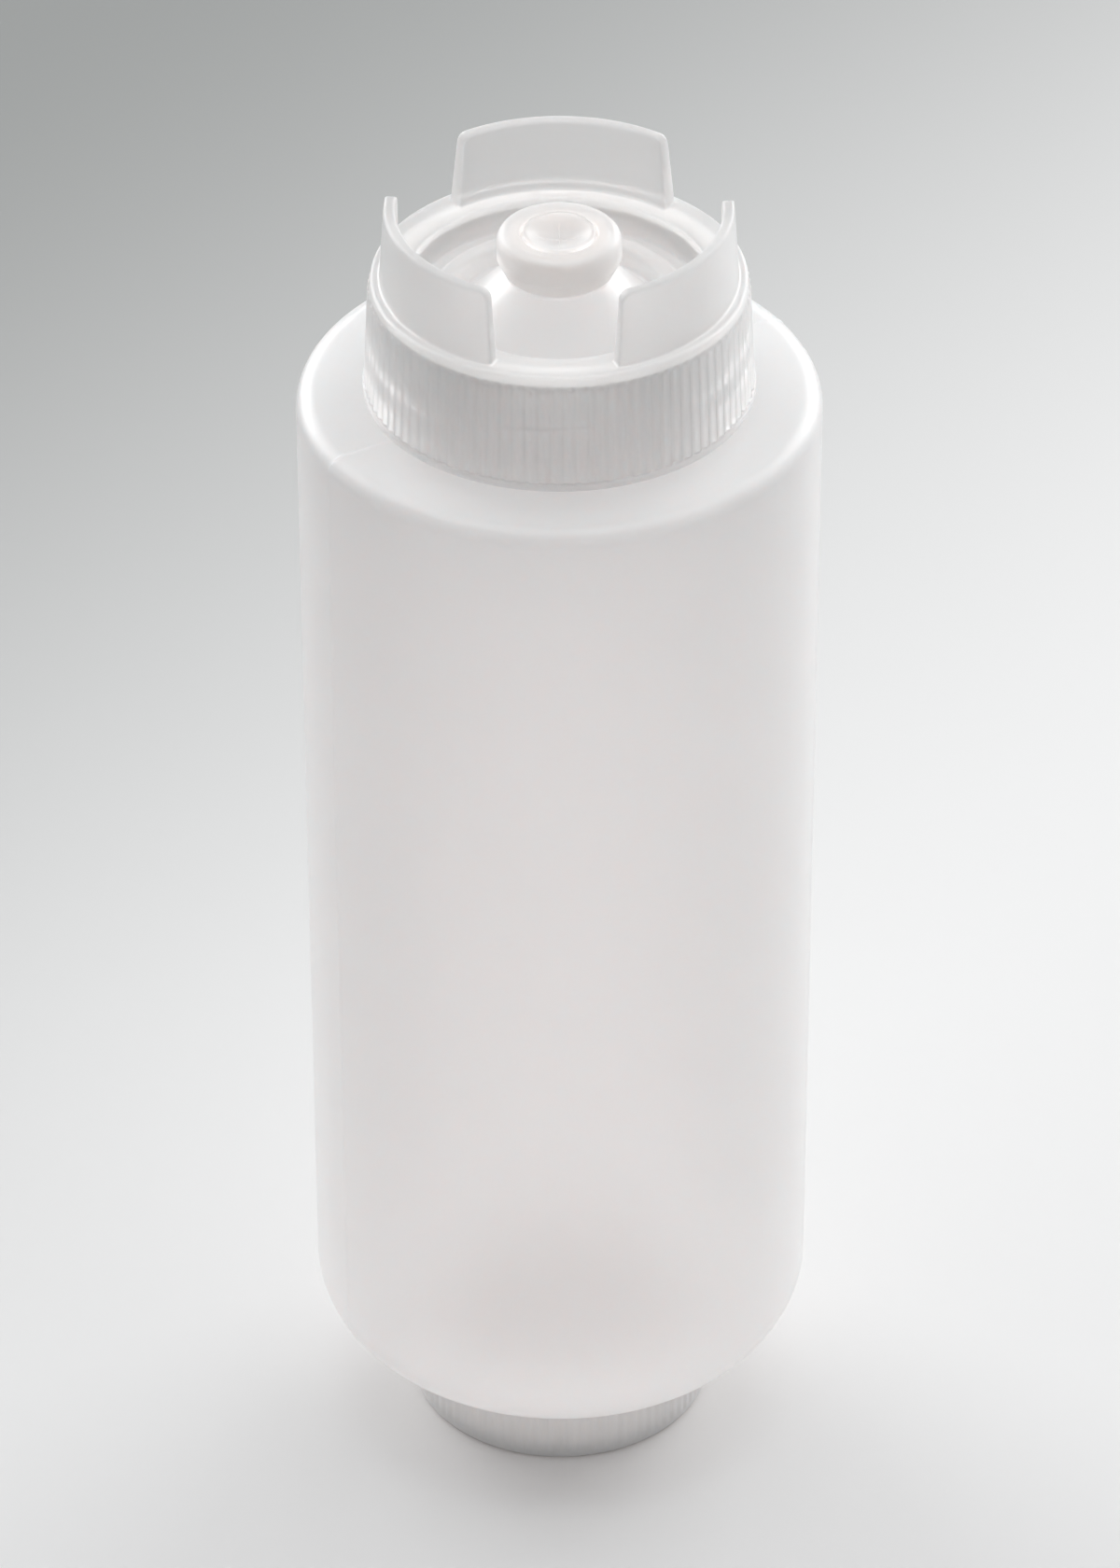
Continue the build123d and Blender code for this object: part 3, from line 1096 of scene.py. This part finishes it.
@dataclass
class DispensingCap(ScrewCap):
    """The dispensing cap: ribbed skirt, deck, well, conical spout and crown in one moulding."""

    rim: float = 185.6
    rim_bore: float = 26.1
    rim_radius: float = 27.8
    skirt_bore: float = 25.6
    skirt_radius: float = 27.0
    bead_radius: float = 28.35
    bead_top: float = 186.8
    bead_round: float = 0.4
    bead_foot_round: float = 0.12
    deck_level: float = 204.0
    deck_fall: float = 0.5
    deck_margin: float = 0.42
    deck_edge_round: float = 0.55
    deck_under: float = 202.0
    plug_radius: float = 22.5
    plug_round: float = 0.5
    well_radius: float = 21.3
    well_mouth_radius: float = 21.5
    well_edge_round: float = 0.4
    floor: float = 198.8
    floor_under: float = 197.4
    raised_ring_level: float = 200.2
    raised_ring_outer: float = 18.9
    raised_ring_inner: float = 15.5
    raised_ring_round: float = 1.1
    moat: float = 197.4
    moat_under: float = 196.0
    spout_foot: float = 14.7
    spout_foot_bore: float = 13.97
    spout_shoulder: float = 204.5
    spout_shoulder_radius: float = 7.7
    stub_radius: float = 7.2
    stub_bore: float = 5.2
    stub: float = 208.6
    cone_top: float = 204.89
    cone_round: float = 0.5
    snap_low: float = 206.2
    snap_high: float = 207.4
    snap_height: float = 0.3
    soft_round: float = 0.3
    small_round: float = 0.2
    sharp_round: float = 0.15
    brink: float = 0.9
    rim_join: float = 0.3
    rib_support: float = 0.3
    rib_clearance: float = 0.9
    plain_band: float = 0.15
    edge_clearance: float = 1.3
    ribs: GripRibs = GripRibs(
        count=96, height=0.32, foot_width=1.5, crest_width=0.3, end=End.UPPER, end_level=201.75
    )
    crown: Crown = Crown()
    thread: Thread = Thread(
        lead=5.0, height=0.95, foot_width=2.2, crest_width=0.9, front_level=194.05, low=187.4, high=196.6
    )

    def inside_corners(self) -> list[Corner]:
        """Draw the inside.

        Returns:
            The corners from the deck's inner edge through the well and back out to the rim.
        """
        soft, small, sharp, edge = self.soft_round, self.small_round, self.sharp_round, self.well_edge_round
        mouth = self.deck_level - self.deck_fall
        brink = self.well_mouth_radius + self.brink
        pocket = self.raised_ring_inner + self.floor - self.floor_under
        return [
            Corner(brink, self.deck().level(brink)),
            Corner(self.well_mouth_radius, mouth, edge, 3),
            Corner(self.well_radius, self.floor, edge, 2),
            Corner(self.raised_ring_outer, self.floor, edge),
            Corner(self.raised_ring_outer, self.raised_ring_level, self.raised_ring_round),
            Corner(self.raised_ring_inner, self.raised_ring_level, self.raised_ring_round),
            Corner(self.raised_ring_inner, self.moat, soft),
            Corner(self.spout_foot, self.moat, soft, 8),
            Corner(self.spout_shoulder_radius, self.spout_shoulder, soft),
            Corner(self.stub_radius, self.spout_shoulder, sharp),
            Corner(self.stub_radius, self.snap_low, small),
            Corner(self.stub_radius + self.snap_height, (self.snap_low + self.snap_high) / 2.0, soft),
            Corner(self.stub_radius, self.snap_high, small),
            Corner(self.stub_radius, self.stub, sharp),
            Corner(self.stub_bore, self.stub, sharp, 3),
            Corner(self.stub_bore, self.cone_top, self.cone_round, 6),
            Corner(self.spout_foot_bore, self.moat_under, small),
            Corner(pocket, self.moat_under, small),
            Corner(pocket, self.floor_under, small, 2),
            Corner(self.plug_radius, self.floor_under, self.plug_round, 3),
            Corner(self.plug_radius, self.deck_under, small),
            Corner(self.skirt_bore, self.deck_under, soft, 52, Run.THREAD),
            Corner(self.rim_bore, self.rim, sharp),
            Corner((self.rim_bore + self.rim_radius) / 2.0, self.rim),
        ]

    def grip_corners(self) -> list[Corner]:
        """Draw the grip.

        Returns:
            The corners from the rim over the smooth bead and up the ribbed skirt.
        """
        end = self.ribs.end_level - self.rib_support
        top = self.ribs.end_level + self.rib_clearance
        return [
            Corner((self.rim_bore + self.rim_radius) / 2.0 + self.rim_join, self.rim),
            Corner(self.bead_radius, self.rim, self.bead_round),
            Corner(self.bead_radius, self.bead_top, self.bead_round),
            Corner(self.rim_radius, self.bead_top, self.bead_foot_round, 6, Run.RIBS),
            Corner(self.skirt_at(end), end, 0.0, 8, Run.RIBS),
            Corner(self.skirt_at(top), top),
            Corner(self.skirt_at(top + self.plain_band), top + self.plain_band),
        ]

    def edge_corners(self) -> list[Corner]:
        """Draw the edge of the deck.

        Returns:
            The corners from the plain top of the skirt over the rounded edge to the crown.
        """
        top = self.ribs.end_level + self.edge_clearance
        return [
            Corner(self.skirt_at(top), top),
            Corner(self.skirt_radius, self.deck_level, self.deck_edge_round),
            Corner(self.crown.foot_radius + self.deck_margin, self.deck_level),
        ]

    def skirt_at(self, level: float) -> float:
        """Return the outer radius of the drafted skirt at a level."""
        share = (self.deck_level - level) / (self.deck_level - self.bead_top)
        return self.skirt_radius + (self.rim_radius - self.skirt_radius) * share

    def deck(self) -> Deck:
        """Return the deck's slope."""
        edge = self.crown.foot_radius + self.deck_margin
        return Deck(self.deck_level, edge, self.deck_level - self.deck_fall, self.well_mouth_radius)

    def shape(self) -> bpy.types.Object:
        """Make the cap, still without its ribs.

        Returns:
            The mesh object.
        """
        shell = Shell()
        trace = Tracer().trace
        coarse = self.crown.headings()
        inside = shell.course(trace(self.inside_corners()), coarse, {Run.THREAD: self.thread})
        grip = shell.course(trace(self.grip_corners()), self.ribs.headings())
        edge = shell.course(trace(self.edge_corners()), coarse)
        outer, inner = self.crown.raise_on(shell, self.deck())
        shell.loft([inner, *inside, *grip, *edge, outer])
        return shell.piece(self.name)


@dataclass
class RefillCap(ScrewCap):
    """The refill cap: the end plate that the bottle stands on, and its ribbed skirt."""

    end_thickness: float = 1.8
    end_round: float = 1.0
    rim: float = 15.0
    bead_low: float = 13.8
    bead_round: float = 0.4
    bead_foot_round: float = 0.12
    bead_proud: float = 0.6
    radius: float = 23.35
    bore: float = 21.8
    rim_round: float = 0.15
    floor_round: float = 0.3
    pole_radius: float = 1.0
    plate_join: float = 0.3
    rim_join: float = 0.2
    edge_support: float = 0.6
    rib_support: float = 0.3
    columns: int = 264
    ribs: GripRibs = GripRibs(
        count=88, height=0.14, foot_width=1.45, crest_width=0.3, end=End.LOWER, end_level=1.9
    )
    thread: Thread = Thread(
        lead=4.2, height=0.85, foot_width=2.0, crest_width=0.8, front_level=10.65, low=5.6, high=14.2
    )

    def plate_corners(self) -> list[Corner]:
        """Return the corners of the standing face, from near the axis outwards."""
        edge = self.radius - self.end_round - self.edge_support - self.plate_join
        return [Corner(self.pole_radius, 0.0, steps=5), Corner(edge, 0.0)]

    def grip_corners(self) -> list[Corner]:
        """Draw the grip.

        Returns:
            The corners from the end plate up the ribbed skirt and over the bead to the rim.
        """
        bead = self.radius + self.bead_proud
        return [
            Corner(self.radius - self.end_round - self.edge_support, 0.0),
            Corner(self.radius, 0.0, self.end_round, 7, Run.RIBS),
            Corner(self.radius, self.ribs.end_level + self.rib_support, 0.0, 10, Run.RIBS),
            Corner(self.radius, self.bead_low, self.bead_foot_round),
            Corner(bead, self.bead_low, self.bead_round),
            Corner(bead, self.rim, self.bead_round),
            Corner((self.radius + self.bore) / 2.0 + self.rim_join, self.rim),
        ]

    def inside_corners(self) -> list[Corner]:
        """Draw the inside.

        Returns:
            The corners from the rim down the threaded bore to the middle of the plate.
        """
        return [
            Corner((self.radius + self.bore) / 2.0, self.rim),
            Corner(self.bore, self.rim, self.rim_round, 60, Run.THREAD),
            Corner(self.bore, self.end_thickness, self.floor_round, 5),
            Corner(self.pole_radius, self.end_thickness),
        ]

    def shape(self) -> bpy.types.Object:
        """Make the cap, still without its ribs.

        Returns:
            The mesh object.
        """
        shell = Shell()
        trace = Tracer().trace
        coarse = even_headings(self.columns)
        plate = shell.course(trace(self.plate_corners()), coarse)
        grip = shell.course(trace(self.grip_corners()), self.ribs.headings())
        inside = shell.course(trace(self.inside_corners()), coarse, {Run.THREAD: self.thread})
        shell.cap_start(0.0, plate[0])
        shell.loft([*plate, *grip, *inside])
        shell.cap_end(inside[-1], self.end_thickness)
        return shell.piece(self.name)


@dataclass
class Washer(Piece):
    """A flat sealing washer with softened edges."""

    outer: float = 0.0
    bore: float = 0.0
    low: float = 0.0
    thickness: float = 1.4
    edge_round: float = 0.25
    columns: int = 192

    def shape(self) -> bpy.types.Object:
        """Make the washer.

        Returns:
            The mesh object.
        """
        high = self.low + self.thickness
        middle = Corner((self.outer + self.bore) / 2.0, self.low)
        edges = ((self.outer, self.low), (self.outer, high), (self.bore, high), (self.bore, self.low))
        corners = [middle, *(Corner(*edge, self.edge_round) for edge in edges), middle]
        return self.turned(corners, even_headings(self.columns))


@dataclass
class Valve(Piece):
    """The slit valve: a flange, and a dished head with a cross of two slits."""

    flange_radius: float = 7.0
    flange_low: float = 208.6
    flange_high: float = 209.8
    flange_round: float = 0.25
    head_radius: float = 5.2
    head: float = 211.2
    head_rim: float = 0.5
    head_round: float = 0.2
    sleeve_round: float = 0.1
    dish_depth: float = 1.4
    skin: float = 0.9
    columns: int = 96
    plain_radius: float = 4.0
    under_rings: int = 8
    under_radius: float = 0.5
    rim_rings: int = 7
    rim_overlap: float = 0.05
    slit_rings: int = 12
    slit_radius: float = 0.25
    slit_reach: float = 2.9
    slit_fade: float = 0.25
    slit_margin: float = 0.3
    slit_width: float = 0.07
    slit_depth: float = 0.16
    crease: float = math.radians(50.0)

    def dish_level(self, radius: float, skin: float = 0.0) -> float:
        """Find a level on the dish or under it.

        Args:
            radius: Distance from the axis.
            skin: Thickness of the skin over the face that is meant, or 0 for the dish itself.

        Returns:
            The level above the standing face.
        """
        edge = self.head_radius - self.head_rim
        curve = (edge**2 + self.dish_depth**2) / (2.0 * self.dish_depth) + skin
        return self.head - self.dish_depth - skin + curve - math.sqrt(curve**2 - radius**2)

    def headings(self, radius: float) -> np.ndarray:
        """Divide a ring of the dish.

        Args:
            radius: Radius of the ring.

        Returns:
            Even headings, but with those next to the slits on their edges.
        """
        edge = min(self.slit_width / radius, 0.5 * TURN / self.columns)
        steps = np.arange(self.columns // 4) * TURN / self.columns
        steps[1] = edge
        steps[-1] = TURN / 4.0 - edge
        return np.concatenate([FRONT + TURN * k / 4.0 + steps for k in range(4)])

    def slit_relief(self, radius: float) -> np.ndarray:
        """Work out the slits on one ring of the dish.

        Args:
            radius: Radius of the ring.

        Returns:
            How far the ring stands out at each heading, which is below 0 in a slit.
        """
        away = np.abs(np.sin(2.0 * (self.headings(radius) - FRONT))) * radius / 2.0
        fade = 1.0 - smoothstep((radius - self.slit_reach) / self.slit_fade)
        return -self.slit_depth * (away < 0.4 * self.slit_width) * fade

    def shape(self) -> bpy.types.Object:
        """Make the valve.

        Returns:
            The mesh object.
        """
        sleeve = self.head_radius - self.skin
        edge = self.head_radius - self.head_rim
        under = [
            Station(complex(radius, self.dish_level(radius, self.skin)), -1j)
            for radius in np.linspace(self.under_radius, sleeve - self.sleeve_round, self.under_rings)
        ]
        corners = [
            Corner(sleeve, self.dish_level(sleeve, self.skin)),
            Corner(sleeve, self.flange_low, self.sleeve_round),
            Corner(self.flange_radius, self.flange_low, self.flange_round),
            Corner(self.flange_radius, self.flange_high, self.flange_round),
            Corner(self.head_radius, self.flange_high, self.head_round),
            Corner(self.head_radius, self.head, self.head_round),
            Corner(edge + self.rim_overlap, self.head),
        ]
        reaches = (
            *np.linspace(edge, self.slit_reach + self.slit_margin, self.rim_rings),
            *np.linspace(self.slit_reach, self.slit_radius, self.slit_rings),
        )
        shell = Shell()
        rings = shell.course([*under, *Tracer().trace(corners)], self.headings(self.plain_radius))
        rings += [
            shell.ring(Station(complex(radius, self.dish_level(radius)), 1j), self.headings(radius),
                       self.slit_relief(radius))
            for radius in reaches
        ]
        shell.cap_start(self.dish_level(0.0, self.skin), rings[0])
        shell.loft(rings)
        shell.cap_end(rings[-1], self.dish_level(0.0) - self.slit_depth)
        return shell.piece(self.name, self.crease)


@dataclass
class SnapRing(Piece):
    """The ring that snaps on the stub and clamps the flange of the valve."""

    bore: float = 7.3
    foot_radius: float = 7.9
    radius: float = 8.95
    foot: float = 205.1
    taper: float = 2.2
    top: float = 211.5
    lip_fall: float = 0.5
    mouth: float = 5.5
    flange_high: float = 209.8
    groove_low: float = 206.2
    groove_high: float = 207.4
    groove: float = 0.3
    edge_round: float = 1.6
    lip_round: float = 0.3
    seat_round: float = 0.15
    groove_round: float = 0.3
    groove_edge_round: float = 0.1
    foot_round: float = 0.25
    taper_round: float = 0.5
    columns: int = 160

    def shape(self) -> bpy.types.Object:
        """Make the ring.

        Returns:
            The mesh object.
        """
        middle = Corner(self.radius, (self.foot + self.taper + self.top) / 2.0)
        corners = [
            middle,
            Corner(self.radius, self.top, self.edge_round),
            Corner(self.mouth, self.top - self.lip_fall, self.lip_round),
            Corner(self.mouth, self.flange_high, self.seat_round),
            Corner(self.bore, self.flange_high, self.seat_round),
            Corner(self.bore, self.groove_high, self.groove_edge_round),
            Corner(self.bore + self.groove, (self.groove_low + self.groove_high) / 2.0, self.groove_round),
            Corner(self.bore, self.groove_low, self.groove_edge_round),
            Corner(self.bore, self.foot, self.seat_round),
            Corner(self.foot_radius, self.foot, self.foot_round),
            Corner(self.radius, self.foot + self.taper, self.taper_round),
            middle,
        ]
        return self.turned(corners, even_headings(self.columns))


@dataclass(frozen=True)
class Softbox:
    """A soft rectangular lamp: its place, the size of its face and its power in watts."""

    name: str
    place: tuple[float, float, float]
    width: float
    height: float
    power: float


@dataclass(frozen=True)
class Studio:
    """Camera, lamps, floor and surroundings.

    Attributes:
        image_width: Width of the picture, in pixels.
        focal_pixels: Focal length, in the same pixels.
        sensor_width: Width of the camera's sensor.
        pitch: How far the camera looks down.
        roll: How far the camera is turned about its line of sight.
        distance: Distance from the camera to the point that it looks at.
        target_level: Level of that point, on the common axis.
        sight: Nearest and farthest distance that the camera sees.
        aim_level: Level on the common axis that the lamps point at.
        ambient: Strength of the light that comes from all round.
        backdrop: Brightness of the surroundings, as seen directly, mirrored or through the plastic.
        surroundings: Colour of that light and of the surroundings.
        crossings: How many faces of the plastic a ray of light may cross.
        reflections: How many times a ray may be scattered or mirrored.
        floor_radius: Radius of the floor.
        floor_near: Tone of the floor in front.
        floor_painted_shade: Darker tone of the floor behind the bottle and to its left, which is painted
            shade for the light that falls off there.
        floor_change: Where the change between the two starts and ends, as metres back less metres right.
        floor_roughness: Roughness of the floor.
        floor_gloss: Level of its mirrored light.
        softboxes: The lamps.
    """

    image_width: float = 1200.0
    focal_pixels: float = 8082.7
    sensor_width: float = 36.0
    pitch: float = math.radians(36.375)
    roll: float = math.radians(-0.10)
    distance: float = 1129.15
    target_level: float = 113.73
    sight: tuple[float, float] = (10.0, 20000.0)
    aim_level: float = 110.0
    ambient: float = 0.26
    backdrop: float = 0.4
    surroundings: tuple[float, float, float] = (0.93, 0.95, 0.96)
    crossings: int = 24
    reflections: int = 8
    floor_radius: float = 3000.0
    floor_near: tuple[float, float, float] = (0.885, 0.885, 0.885)
    floor_painted_shade: tuple[float, float, float] = (0.303, 0.311, 0.308)
    floor_change: tuple[float, float] = (0.015, 0.56)
    floor_roughness: float = 0.85
    floor_gloss: float = 0.2
    softboxes: tuple[Softbox, ...] = (
        Softbox("overhead_light", (0.0, 100.0, 1400.0), 1000.0, 1000.0, 6.7),
        Softbox("upper_right_light", (900.0, 0.0, 1200.0), 1400.0, 1200.0, 1.4),
        Softbox("back_left_light", (-900.0, 1100.0, 600.0), 1000.0, 1000.0, 11.8),
        Softbox("back_right_light", (900.0, 1100.0, 600.0), 1000.0, 1000.0, 11.9),
    )

    @staticmethod
    def _hang(name: str, data: bpy.types.ID, place: Vector, turn: Matrix) -> bpy.types.Object:
        """Put a camera or a lamp in its place.

        Args:
            name: Name of the new object.
            data: The camera or the lamp.
            place: Where it goes.
            turn: How it is turned.

        Returns:
            The new object.
        """
        hung = bpy.data.objects.new(name, data)
        hung.matrix_world = Matrix.Translation(place * MM) @ turn
        bpy.context.scene.collection.objects.link(hung)
        return hung

    def camera(self) -> None:
        """Place the camera at the photograph's point of view."""
        data = bpy.data.cameras.new("camera")
        data.sensor_fit = "HORIZONTAL"
        data.sensor_width = self.sensor_width
        data.lens = self.focal_pixels * self.sensor_width / self.image_width
        data.clip_start, data.clip_end = (limit * MM for limit in self.sight)
        back = Vector((0.0, -math.cos(self.pitch), math.sin(self.pitch)))
        place = Vector((0.0, 0.0, self.target_level)) + back * self.distance
        tilt = Matrix.Rotation(TURN / 4.0 - self.pitch, 4, "X") @ Matrix.Rotation(self.roll, 4, "Z")
        bpy.context.scene.camera = self._hang("camera", data, place, tilt)

    def lamp(self, softbox: Softbox) -> None:
        """Hang a softbox so that it points at the bottle.

        Args:
            softbox: The lamp.
        """
        data = bpy.data.lights.new(softbox.name, "AREA")
        data.shape = "RECTANGLE"
        data.size, data.size_y = softbox.width * MM, softbox.height * MM
        data.energy = softbox.power
        place = Vector(softbox.place)
        turn = (Vector((0.0, 0.0, self.aim_level)) - place).to_track_quat("-Z", "Y")
        self._hang(softbox.name, data, place, turn.to_matrix().to_4x4())

    def floor(self, sides: int = 96) -> bpy.types.Object:
        """Lay the pale floor, with painted shade that darkens its tone softly behind the bottle and to its
        left.

        Args:
            sides: Number of sides of its rim.

        Returns:
            The floor's object.
        """
        mesh = bpy.data.meshes.new("floor")
        radius = self.floor_radius * MM
        turns = TURN * np.arange(sides) / sides
        rim = [(radius * math.cos(turn), radius * math.sin(turn), 0.0) for turn in turns]
        mesh.from_pydata(rim, [], [tuple(range(sides))])
        floor = bpy.data.objects.new("floor", mesh)
        bpy.context.scene.collection.objects.link(floor)
        material = bpy.data.materials.new("floor_paper")
        material.use_nodes = True
        wiring = Wiring(material.node_tree)
        place = wiring.node("ShaderNodeTexCoord").outputs["Object"]
        right, back, _ = wiring.node("ShaderNodeSeparateXYZ", place).outputs
        # Painted shade: the floor's colour darkens towards the back and the left, in place of the light
        # falling off there.
        share = wiring.ramp(wiring.math("SUBTRACT", back, right), *self.floor_change, 0.0, 1.0)
        wiring.feed(
            material.node_tree.nodes["Principled BSDF"],
            Base_Color=wiring.blend(share, self.floor_near, self.floor_painted_shade),
            Roughness=self.floor_roughness,
            Specular_IOR_Level=self.floor_gloss,
        )
        mesh.materials.append(material)
        return floor

    def world(self) -> None:
        """Set the light that comes from all round, and the surroundings that the bottle is seen against."""
        world = bpy.data.worlds.new("studio")
        world.use_nodes = True
        bpy.context.scene.world = world
        wiring = Wiring(world.node_tree)
        path = wiring.node("ShaderNodeLightPath").outputs
        seen = wiring.math("MAXIMUM", path["Is Camera Ray"], path["Is Glossy Ray"])
        seen = wiring.math("MAXIMUM", seen, path["Is Transmission Ray"])
        strength = wiring.math("MULTIPLY_ADD", seen, self.backdrop - self.ambient, self.ambient)
        wiring.feed(world.node_tree.nodes["Background"], Color=(*self.surroundings, 1.0), Strength=strength)

    def build(self) -> None:
        """Set up camera, lamps, floor and surroundings."""
        self.camera()
        for softbox in self.softboxes:
            self.lamp(softbox)
        self.floor()
        self.world()
        paths = bpy.context.scene.cycles
        paths.max_bounces = paths.transmission_bounces = paths.transparent_max_bounces = self.crossings
        paths.diffuse_bounces = paths.glossy_bounces = self.reflections


BOTTLE_PLASTIC = MouldedPlastic(
    name="bottle_polyethylene",
    color=(0.958, 0.951, 0.952),
    tint=(0.97, 0.965, 0.966),
    roughness=0.42,
    depth=(4.8, 3.9, 3.7),
    clear=0.5,
    bloom=0.35,
    passed=(0.68, 0.672, 0.67),
)
CAP_PLASTIC = MouldedPlastic(
    name="cap_polypropylene",
    color=(0.962, 0.955, 0.953),
    tint=(0.972, 0.967, 0.965),
    roughness=0.34,
    depth=(5.6, 4.9, 4.7),
    clear=0.7,
    passed=(0.7, 0.69, 0.685),
)
# The refill cap's plastic: its own off-white, with colour and tint made warmer as painted shade for the
# warm shade under the bottle, where this cap stands.
PAINTED_SHADE_REFILL_PLASTIC = MouldedPlastic(
    name="refill_polypropylene_painted_shade",
    color=(0.975, 0.925, 0.898),
    tint=(0.982, 0.94, 0.92),
    clear=0.15,
    bloom=0.7,
    passed=(0.34, 0.3, 0.285),
)
RING_PLASTIC = MouldedPlastic(
    name="ring_polypropylene",
    color=(0.965, 0.945, 0.935),
    tint=(0.975, 0.955, 0.945),
    roughness=0.34,
    depth=(9.0, 8.2, 7.8),
    clear=0.45,
    bloom=0.35,
    passed=(0.86, 0.85, 0.845),
)
SILICONE = MouldedPlastic(
    name="valve_silicone",
    color=(0.965, 0.942, 0.928),
    tint=(0.975, 0.952, 0.94),
    depth=(7.0, 6.2, 5.8),
    clear=0.55,
    passed=(0.7, 0.685, 0.675),
    index=1.41,
)
WASHER_FOAM = MouldedPlastic(
    name="washer_foam",
    color=(0.9, 0.895, 0.885),
    tint=(0.92, 0.915, 0.905),
    roughness=0.6,
    clear=0.1,
    passed=(0.2, 0.2, 0.2),
)


def main() -> None:
    """Build every piece in order and report it."""
    logging.basicConfig(level=logging.INFO, format="%(name)s: %(message)s")
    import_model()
    bpy.context.scene.view_settings.view_transform = "Standard"
    pieces: list[Piece] = [
        Bottle("bottle_shell", "bottle", "bottle", "soft_plastic", BOTTLE_PLASTIC),
        DispensingCap("crowned_cap", "dispensing_cap", "dispensing_cap", "cap_plastic", CAP_PLASTIC),
        Valve("slit_valve", "valve", "dispensing_cap", "silicone", SILICONE),
        SnapRing("snap_ring", "valve_ring", "dispensing_cap", "ring_plastic", RING_PLASTIC),
        Washer("dispensing_seal", "dispensing_washer", "dispensing_washer", "washer_foam", WASHER_FOAM,
               outer=25.2, bore=22.9, low=200.6),
        Washer("refill_seal", "refill_washer", "refill_washer", "washer_foam", WASHER_FOAM,
               outer=21.4, bore=18.9, low=1.8),
        RefillCap("refill_cap_moulding", "refill_cap", "refill_cap", "cap_plastic", PAINTED_SHADE_REFILL_PLASTIC),
    ]
    for piece in pieces:
        made = piece.build()
        log.info("%s: %d faces", made.name, len(made.data.polygons))
    Studio().build()


if __name__ == "__main__":
    main()
